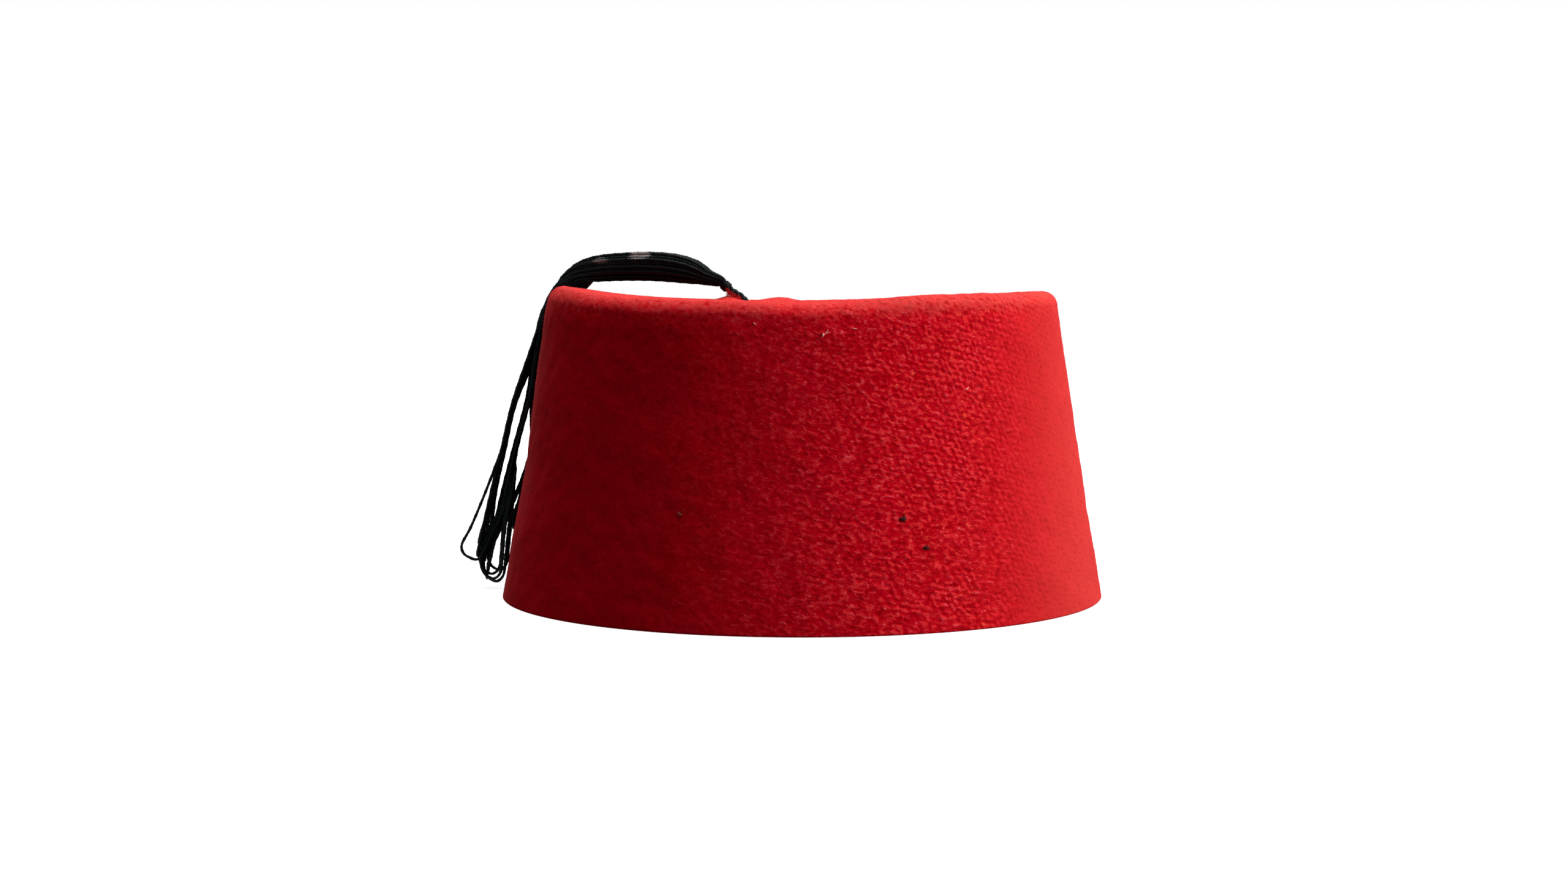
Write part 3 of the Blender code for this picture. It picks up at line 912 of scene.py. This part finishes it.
def ground_red(felt, place, x, edge, rubbed):
    """The dyed ground, mottled, with painted light on it: a brighter red on the shoulder where the top light
    falls, a pink painted sheen to the right and a pale painted sheen along the top edge.
    """
    # painted light: the shoulder is painted a brighter red where the top light falls, less to the right
    shoulder = (0.75 - 0.45 * rubbed) * felt.ease(edge, 83, 91) * (1 - 0.6 * felt.ease(x, 40, 72))
    # painted sheen: pink towards the right, where the side light grazes the wall
    paler = 0.15 * felt.ease(x, 20, 95) + 0.35 * felt.ease(x, 54, 90)
    ground = felt.mix(felt.noise(place, 0.045, detail=3), GROUND_DARK, GROUND_BRIGHT)
    ground = felt.mix(shoulder, ground, SHOULDER_LIGHT_RED)
    ground = felt.mix(paler, ground, RIGHT_SHEEN_RED)
    # painted sheen: the top edge is painted pale and pink where the top light grazes it
    return felt.mix(0.62 * felt.ease(edge, 88, 94), ground, TOP_SHEEN_RED)


# %% Felt
FELT_DULLNESS = {"Roughness": 0.95, "Specular_IOR_Level": 0.0}
FELT_SHEEN = {"Sheen_Weight": 0.10, "Sheen_Roughness": 0.3, "Sheen_Tint": (1, 0.30, 0.28, 1)}
# The first two reds are painted shade for the knit's low places and a painted highlight for its high places
PIT_SHADE_RED = (0.27, 0.0001, 0.002, 1)
RAISED_HIGHLIGHT_RED = (0.82, 0.028, 0.034, 1)
FIBRE_HIGHLIGHT_PINK = (0.95, 0.105, 0.140, 1)
FIBRE_HIGHLIGHT_ORANGE = (0.95, 0.120, 0.045, 1)
EDGE_MIDDLE = 5  # in mm right of the axis: where the top edge is lowest
EDGE_BOW = 0.0005  # per mm: how the top edge rises to both sides
RELIEF_DEPTH = 0.36 * MM


def felt_finish():
    """Painted shade in the knit's low places, painted highlight on its high places, and loose fibres,
    partly painted highlight, over the ground's red.
    """
    felt = Finish("red_felt", **FELT_DULLNESS, **FELT_SHEEN)
    x, y, z = felt.xyz(object_place(felt))
    place = unrolled(felt, x, y, z)
    rubbed = rubbed_share(felt, x, y, z)
    relief = knit_relief(felt, place, x)
    low = felt.ease(relief, 0.50, 0.32)
    high = felt.ease(relief, 0.50, 0.64)
    fibres = raised_fibres(felt, place, high)
    level = z - EDGE_BOW * (x - EDGE_MIDDLE) ** 2
    edge = level + 10 * (relief - 0.5) + 5 * (felt.noise(place, 0.25, detail=3) - 0.5)
    ground = ground_red(felt, place, x, edge, rubbed)
    # painted shade: the knit's low places are painted darker, as the shade that falls in them
    pit_shade = low * (0.25 + 0.45 * rubbed) * (1 - 0.5 * felt.ease(x, 50, 82))
    loosened_and_lit = rubbed * rubbed
    # painted highlight: the high knit is painted lighter where the nap is roughened, most on the lit right
    shaded_and_highlit = felt.mix(high * loosened_and_lit * 0.9, felt.mix(pit_shade, ground, PIT_SHADE_RED), RAISED_HIGHLIGHT_RED)
    # the loose fibres are partly paler wool and partly painted highlight: orange on the lit right, and most of
    # them on the right and along the top edge
    orange_highlight = felt.ease(felt.noise(place, 0.12), 0.46, 0.60) * felt.ease(x, 0, 45)
    fibre_and_highlight_share = loosened_and_lit + 0.35 * felt.ease(edge, 84, 90)
    felt.set("Base Color", felt.mix(fibres * fibre_and_highlight_share, shaded_and_highlit, felt.mix(orange_highlight, FIBRE_HIGHLIGHT_PINK, FIBRE_HIGHLIGHT_ORANGE)))
    felt.bump((relief + 0.05 * fibres) * rubbed * rubbed, RELIEF_DEPTH)
    return felt


felt_finish().dress(crown)

# %% [markdown]
# ## Nap
#
# What makes felt look like felt is the nap: loose fibres that stand off the surface and blur its outline.
# Real ones are far too many, so tens of thousands of thicker ones stand for them. Each is a bent cone of
# three sides, copied to a random place, laid mostly along the surface, down to the right as the nap was
# brushed. A UV map tells its finish how light a fibre is (across) and how far a point is from the root (up).

# %% One fibre
NAP_SIDES = 3
FIBRE_BELLY = 1.5  # how much stouter than a plain cone it is halfway up
FIBRE_FLATNESS = 0.4  # its thickness beside its width


def fibre_template():
    """A cone of three sides, stouter halfway: its corners, which run from 0 to 1 along it, and its faces."""
    mesh = bmesh.new()
    bmesh.ops.create_cone(mesh, cap_ends=True, segments=NAP_SIDES, radius1=1, radius2=0, depth=1)
    bmesh.ops.translate(mesh, verts=mesh.verts, vec=UP / 2)
    bmesh.ops.remove_doubles(mesh, verts=mesh.verts, dist=0.001)
    rising = [edge for edge in mesh.edges if abs(edge.verts[0].co.z - edge.verts[1].co.z) > 0.5]
    bmesh.ops.subdivide_edges(mesh, edges=rising, cuts=1, use_grid_fill=True)
    for vert in mesh.verts:
        if 0.2 < vert.co.z < 0.8:
            vert.co.xy *= FIBRE_BELLY
    bmesh.ops.triangulate(mesh, faces=mesh.faces)
    bmesh.ops.recalc_face_normals(mesh, faces=mesh.faces)
    mesh.verts.index_update()
    corners = np.array([vert.co for vert in mesh.verts])
    faces = np.array([[vert.index for vert in face.verts] for face in mesh.faces])
    mesh.free()
    return corners, faces


fibre_corners, fibre_faces = fibre_template()
print(f"fibre: {len(fibre_corners)} corners, {len(fibre_faces)} faces")


# %% Many fibres
def unit(vectors):
    return vectors / np.linalg.norm(vectors, axis=1, keepdims=True)


def hair_mesh(name, roots, ways, bends, lengths, radii, tones):
    """Copy the fibre to every root: it grows along its way, bows towards its bend and thins to its tip."""
    sides = unit(np.cross(ways, bends))
    rises = np.cross(sides, ways)
    along = fibre_corners[:, 2]
    bow = np.sin(pi * along * 0.8)
    points = (
        roots[:, None]
        + (ways * lengths[:, None])[:, None] * along[None, :, None]
        + bends[:, None] * bow[None, :, None]
        + (sides * radii[:, None] * FIBRE_FLATNESS)[:, None] * fibre_corners[None, :, 0, None]
        + (rises * radii[:, None])[:, None] * fibre_corners[None, :, 1, None]
    )
    corner_count, face_count = len(fibre_corners), len(fibre_faces)
    count = len(roots)
    faces = (fibre_faces[None] + corner_count * np.arange(count)[:, None, None]).reshape(-1)
    data = bpy.data.meshes.new(name)
    data.vertices.add(count * corner_count)
    data.vertices.foreach_set("co", points.ravel())
    data.loops.add(len(faces))
    data.loops.foreach_set("vertex_index", faces)
    data.polygons.add(count * face_count)
    data.polygons.foreach_set("loop_start", np.arange(0, len(faces), 3))
    data.update(calc_edges=True)
    uv = np.column_stack([np.repeat(tones, face_count * 3), np.tile(along[fibre_faces.ravel()], count)])
    layer = data.uv_layers.new(name="OFBake")
    layer.data.foreach_set("uv", uv.ravel())
    data.shade_smooth()
    piece = placed(name, data)
    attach(piece, "root")
    print(f"{name}: {count} fibres, {len(data.polygons)} faces")
    return piece


# %% Where fibres grow
def outer_faces(piece):
    """Middles, normals and areas of the crown's outside faces."""
    read = {}
    for what, width in (("center", 3), ("normal", 3), ("area", 1)):
        read[what] = np.zeros(width * len(piece.data.polygons))
        piece.data.polygons.foreach_get(what, read[what])
    middles, normals = read["center"].reshape(-1, 3), read["normal"].reshape(-1, 3)
    x, y, z = (middles - np.array(CROWN_AXIS)).T
    outside = (np.hypot(x, y) > wall_radius(z) - FELT / 2) | (z > top_height(x, y) - FELT / 2)
    # The Boolean lists the faces in another order each run, so they are sorted by their place
    order = np.lexsort(middles.T)
    order = order[outside[order]]
    return middles[order], normals[order], read["area"][order]


crown_faces = outer_faces(crown)
print(f"outside of the felt: {crown_faces[2].sum() / MM**2:.0f} square mm")

# %% Sizes of the nap
NAP_COUNT = 19000  # in each of its three pieces
NAP_SPREAD = 0.6 * MM
NAP_ROOT = 0.12 * MM  # how deep the fibres are rooted
NAP_SLOPE = radians(-25)  # down to the right
NAP_SCATTER = 0.7  # in radians, to both sides of that slope
NAP_LIFT = (0.08, 0.16)  # in radians off the felt: the usual lift, and how much it varies
NAP_GROWTH = (5, 0.16)  # shape and scale of a gamma spread: 0.8 mm on average
NAP_LENGTHS = (0.4, 2.2)  # in mm: the shortest and the longest
NAP_RADII = (0.025, 0.065)  # in mm
NAP_CURL = (0.2, 0.6)  # of a fibre's length
NAP_FREE_FOOT = 2 * MM  # no fibre grows lower, so none reaches through the floor
DENSE_TO_RIGHT = ((-0.5, 0.3), (0.45, 1))  # across the rim's radius, and how thick the nap is there
# how light the fibres may be across the rim: painted highlight, rising towards the lit right
LIT_PALE_TO_RIGHT = ((-0.4, 0.1, 0.6), (0.35, 0.75, 0.9))  # the same, for how pale it may be
print(f"nap: 3 pieces of {NAP_COUNT} fibres, {NAP_GROWTH[0] * NAP_GROWTH[1]:.1f} mm long on average")


# %% Nap on the crown
def nap(name, wanted, seed):
    """Fibres on the faces that are wanted."""
    rng = np.random.default_rng(seed)
    middles, normals, areas = (column[wanted] for column in crown_faces)
    thick = areas * np.interp(middles[:, 0] / RIM_RADIUS, *DENSE_TO_RIGHT)
    chosen = rng.choice(len(areas), NAP_COUNT, p=thick / thick.sum())
    up, middle = normals[chosen], middles[chosen]
    near_top = up[:, 2] > 0.4
    level = np.cross(UP, up)
    level[:, 0] += 1e-4
    level = unit(level)
    rise = np.cross(up, level)
    spread = rng.uniform(-NAP_SPREAD, NAP_SPREAD, (2, NAP_COUNT, 1))
    roots = middle + spread[0] * level + spread[1] * rise - NAP_ROOT * up
    slope = NAP_SLOPE + rng.normal(0, NAP_SCATTER, NAP_COUNT) + pi * rng.integers(0, 2, NAP_COUNT)
    slope = np.where(up[:, 2] > 0.8, rng.uniform(0, 2 * pi, NAP_COUNT), slope)[:, None]
    lift = np.abs(rng.normal(*NAP_LIFT, NAP_COUNT))[:, None]
    flat = np.cos(slope) * level + np.sin(slope) * rise
    ways = unit(flat * np.cos(lift) + up * np.sin(lift))
    lengths = rng.gamma(*NAP_GROWTH, NAP_COUNT).clip(*NAP_LENGTHS) * MM * np.where(near_top, 0.6, 1)
    side = np.cross(up, flat) * rng.choice([-1, 1], NAP_COUNT)[:, None]
    bends = (side + 0.35 * up) * (lengths * rng.uniform(*NAP_CURL, NAP_COUNT))[:, None]
    radii = rng.uniform(*NAP_RADII, NAP_COUNT) * MM
    across = (roots[:, 0] - CROWN_AXIS.x) / RIM_RADIUS
    # painted highlight: fibres may be lighter to the right and on the top, where the side and top lights fall
    paler = np.where(near_top, 0.9, np.interp(across, *LIT_PALE_TO_RIGHT))
    tones = (rng.random(NAP_COUNT) * paler).clip(0.02, 0.98)
    return hair_mesh(name, roots, ways, bends, lengths, radii, tones)


face_middles, face_normals, _ = crown_faces
on_top = face_normals[:, 2] > 0.5
hairy_wall = ~on_top & (face_middles[:, 2] > NAP_FREE_FOOT)
in_front = face_middles[:, 1] < 0
naps = [
    nap("felt_nap_front", hairy_wall & in_front, 11),
    nap("felt_nap_back", hairy_wall & ~in_front, 12),
    nap("felt_nap_top", on_top, 13),
]

# %% [markdown]
# ## Fluff round the hole
#
# The cord drew wool up with it when it was pulled through the top, so the felt ends there in a small tuft. It
# is made of the same fibres as the nap, but they stand closer and point every way, in the wedge between the
# felt and the foot of the cord.

# %% Fluff round the hole
FLUFF_COUNT = 2600
FLUFF_FOOT = (-24.0 * MM, -19.3 * MM)  # the stretch of the neck with wool under it
FLUFF_MIDDLE = 0.8 * MM
FLUFF_HALF_WIDTH = 0.9 * MM
FLUFF_RADII = (0.02 * MM, 0.04 * MM)
FLUFF_LENGTHS = (0.3, 0.9)  # in mm
FLUFF_CURL = 0.45  # of a fibre's length


def fluff_at_hole():
    """Wool pulled up with the cord: a tuft that fills the wedge between the felt and the foot of the cord."""
    rng = np.random.default_rng(21)
    x = rng.uniform(*FLUFF_FOOT, FLUFF_COUNT)
    y = rng.normal(FLUFF_MIDDLE, FLUFF_HALF_WIDTH, FLUFF_COUNT)
    felt_height = top_height(x, y)
    neck_height = np.interp(x, neck_line[:, 0], neck_line[:, 2])
    z = felt_height + rng.random(FLUFF_COUNT) ** 1.5 * np.maximum(neck_height - felt_height, 0)
    roots = np.column_stack([x, y, z]) + np.array(CROWN_AXIS)
    ways = unit(rng.normal(0, 1, (FLUFF_COUNT, 3)) * (1, 1, 0.6))
    lengths = rng.uniform(*FLUFF_LENGTHS, FLUFF_COUNT) * MM
    bends = unit(np.cross(ways, rng.normal(0, 1, (FLUFF_COUNT, 3)))) * (lengths * FLUFF_CURL)[:, None]
    tones = rng.uniform(0.3, 0.98, FLUFF_COUNT)
    return hair_mesh("felt_fluff", roots, ways, bends, lengths, rng.uniform(*FLUFF_RADII, FLUFF_COUNT), tones)


fluff = fluff_at_hole()

# %% [markdown]
# ## Finish of the nap
#
# A loose fibre catches more light than the ground under it, and a few are much paler than the rest. So this
# finish reads the two numbers in the fibre's UV map. Its tone picks a red, from the ground's to a light one
# with orange for the palest, and the way up fades the root into the dark ground. The tones are set lighter on
# the right and on the top, where the side and top lights fall, so the lighter reds are partly painted
# highlight.

# %% Nap's finish
NAP_TIP = (0.86, 0.055, 0.055, 1)
nap_finish = Finish("red_nap", Roughness=0.7, Specular_IOR_Level=0.1)
tone, up, _ = nap_finish.xyz(nap_finish.node("ShaderNodeUVMap", {"uv_map": "OFBake"}, {}))
# painted highlight: the lighter reds stand for light on the fibres as well as their own paleness
lighter = nap_finish.mix(nap_finish.ease(tone, 0.3, 1.0), GROUND_BRIGHT, NAP_TIP)
orange_highlight = nap_finish.mix(nap_finish.ease(tone, 0.90, 0.95), lighter, FIBRE_HIGHLIGHT_ORANGE)
nap_finish.set("Base Color", nap_finish.mix(nap_finish.ease(up, 0.0, 0.6), GROUND_DARK, orange_highlight))
nap_finish.dress(*naps, fluff)

# %% [markdown]
# ## Lint on the wall
#
# A felt hat that has been handled carries a little lint: short straws near the top edge, and small knots of
# dark thread lower down. Each bit is a thin bent tube. A ray cast at the wall finds the real surface under
# it, so it lies on the felt, and a few tubes that cross make a knot with loose ends.

# %% Bits of lint
Bit = namedtuple("Bit", "bearing height length width slope")
STRAW_BITS = (
    Bit(274.9, 85.2 * MM, 2.0 * MM, 0.26 * MM, 50),
    Bit(274.2, 84.4 * MM, 1.1 * MM, 0.70 * MM, 70),
    Bit(275.2, 85.0 * MM, 1.1 * MM, 0.20 * MM, 15),
    Bit(280.6, 86.2 * MM, 1.6 * MM, 0.26 * MM, -5),
    Bit(304.7, 68.6 * MM, 1.6 * MM, 0.36 * MM, 35),
    Bit(260.4, 87.6 * MM, 0.9 * MM, 0.34 * MM, -40),
)
DARK_BITS = (
    Bit(288.7, 32.4 * MM, 1.8 * MM, 1.40 * MM, 10),
    Bit(288.9, 32.6 * MM, 2.4 * MM, 0.30 * MM, 70),
    Bit(288.5, 32.3 * MM, 2.4 * MM, 0.28 * MM, -45),
    Bit(288.6, 32.2 * MM, 2.2 * MM, 0.22 * MM, 20),
    Bit(288.9, 32.5 * MM, 2.0 * MM, 0.20 * MM, -75),
    Bit(292.9, 24.0 * MM, 1.8 * MM, 0.95 * MM, -15),
    Bit(292.7, 24.2 * MM, 1.8 * MM, 0.24 * MM, 40),
    Bit(293.1, 23.9 * MM, 1.6 * MM, 0.20 * MM, -50),
)
BROWN_BITS = (
    Bit(247.1, 33.5 * MM, 1.6 * MM, 0.80 * MM, -30),
    Bit(247.4, 33.9 * MM, 1.8 * MM, 0.14 * MM, 50),
)
print(f"lint: {len(STRAW_BITS + DARK_BITS + BROWN_BITS)} bits")

# %% Laying the lint on the felt
BIT_ROWS = 7
BIT_SIDES = 8
BIT_SQUASH = 0.8


def on_wall(bearing, height):
    """The place on the crown's wall and its normal, at a bearing and a height."""
    spoke = Vector((cos(radians(bearing)), sin(radians(bearing)), 0))
    _, place, normal, _ = crown.ray_cast(CROWN_AXIS + UP * height + spoke * 2 * RIM_RADIUS, -spoke)
    return place, normal


def bit_line(bit):
    """A bent sliver that lies on the felt and thins to both ends. Its slope is in degrees."""
    place, normal = on_wall(bit.bearing, bit.height)
    level = UP.cross(normal).normalized()
    rise = normal.cross(level)
    way = level * cos(radians(bit.slope)) + rise * sin(radians(bit.slope))
    side = normal.cross(way)
    points = []
    for t in np.linspace(-1, 1, BIT_ROWS):
        bow = side * 0.10 * bit.length * t * t + normal * (0.25 * bit.width + 0.06 * MM)
        point = place + way * (t * bit.length / 2) + bow - CROWN_AXIS
        points.append((*point, bit.width / 2 * (1.05 - t * t) ** 0.5))
    return np.array(points)


bit_section = round_section("bit_section", BIT_SIDES, BIT_SQUASH)
lint = {}
for name, bits in (("straw", STRAW_BITS), ("dark", DARK_BITS), ("brown", BROWN_BITS)):
    lint[name] = tubes(name + "_lint", [bit_line(bit) for bit in bits], bit_section)
    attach(lint[name], "root")
bpy.data.objects.remove(bit_section)

# %% [markdown]
# ## Finish of the lint
#
# Lint is dry fibre: dull all over, and never one even colour. A noise with lumps of half a millimetre mixes
# two colours for each kind.

# %% Lint's finish
LINT_COLOURS = {
    "straw": ((1.00, 0.58, 0.50, 1), (0.85, 0.32, 0.26, 1)),
    "dark": ((0.035, 0.008, 0.005, 1), (0.055, 0.012, 0.010, 1)),
    "brown": ((0.240, 0.085, 0.045, 1), (0.120, 0.018, 0.012, 1)),
}
for name, (first, second) in LINT_COLOURS.items():
    dry = Finish(name + "_lint", Roughness=0.8, Specular_IOR_Level=0.1)
    mottle = dry.ease(dry.noise(object_place(dry), 2.0), 0.40, 0.60)
    dry.set("Base Color", dry.mix(mottle, first, second))
    dry.dress(lint[name])

# %% [markdown]
# ## Finish of the black cords
#
# The cords are dyed a deep, slightly cool black, and their twist shows only as fine lines of light. So the
# finish is nearly black, with a weak tinted gloss. A fine noise stands for the threads in each ply, in the
# colour and as bump. On top of the bundle two grey patches are painted highlights of the top light.

# %% Cords' finish
CORD_BLACK = (0.0010, 0.0015, 0.0019, 1)
CORD_WORN = (0.0035, 0.0048, 0.0054, 1)
CORD_GLOSS_TINT = (0.75, 0.95, 1.0, 1)
# the grey of the painted highlights on top of the bundle
GLINT_GREY = (0.34, 0.34, 0.33, 1)
THREAD_RELIEF = 0.10 * MM
Patch = namedtuple("Patch", "x y z half_length half_width half_height share")
GLINT_PATCHES = (
    Patch(-52.4, 7.5, 107.7, 4.4, 4.0, 1.4, 0.9),
    Patch(-65.2, 12.0, 106.2, 3.0, 4.0, 1.3, 0.35),
)


def cord_finish():
    """Black plies with a fine thread, with painted grey highlights in the patches, which are given in mm."""
    black = Finish("black_cord", Specular_IOR_Level=0.12, Specular_Tint=CORD_GLOSS_TINT)
    place = object_place(black)
    x, y, z = black.xyz(place)
    soft = black.noise(place, 0.16)
    threads = black.noise(place, 3.0)
    dyed = black.mix(black.ease(soft * 0.6 + threads * 0.4, 0.38, 0.62), CORD_BLACK, CORD_WORN)
    # painted highlight: grey is painted onto the cords in these patches, where the top light gleams on the
    # bundle
    glint_share = 0
    for patch in GLINT_PATCHES:
        along = (x - patch.x) / patch.half_length
        across = (y - patch.y) / patch.half_width
        up = (z - patch.z) / patch.half_height
        reach = along * along + across * across + up * up
        glint_share = glint_share + black.ease(reach + 3 * (threads - 0.5), 1.0, 0.4) * patch.share
    black.set("Base Color", black.mix(glint_share, dyed, GLINT_GREY))
    black.set("Roughness", 0.42 + 0.25 * soft)
    black.bump(threads, THREAD_RELIEF)
    return black


cord_finish().dress(tassel, neck, binding)

# %% [markdown]
# ## Floor
#
# The hat stands on a plain white sheet, lit so evenly that only a faint shadow is left at the rim. A plane
# that glows a little less than white near the hat leaves room for that shadow. Further out it grows to the
# white of the room. It is a stage, not part of the hat.

# %% White floor
FLOOR_SIZE = 4.0
SHADED_REACH = (0.35, 1.0)  # in metres: past it the floor is plain white, like the room
SHADED_GLOW = (0.82, 0.82, 0.82, 1)
FULL_GLOW = (1.02, 1.02, 1.02, 1)


def white_floor():
    """A finish that glows a little less than white round the hat."""
    white = Finish("white_floor", Base_Color=(0.8, 0.8, 0.8, 1), Roughness=1.0, Specular_IOR_Level=0.0)
    coordinates = white.node("ShaderNodeTexCoord", {}, {}, output="Object")
    reach = white.node("ShaderNodeVectorMath", {"operation": "LENGTH"}, {0: coordinates}, output="Value")
    white.set("Emission Strength", 1.0)
    white.set("Emission Color", white.mix(white.ease(reach, *SHADED_REACH), SHADED_GLOW, FULL_GLOW))
    return white


floor_mesh = bmesh.new()
bmesh.ops.create_grid(floor_mesh, x_segments=1, y_segments=1, size=FLOOR_SIZE)
floor = new_piece("floor", floor_mesh)
white_floor().dress(floor)
floor.visible_diffuse = False
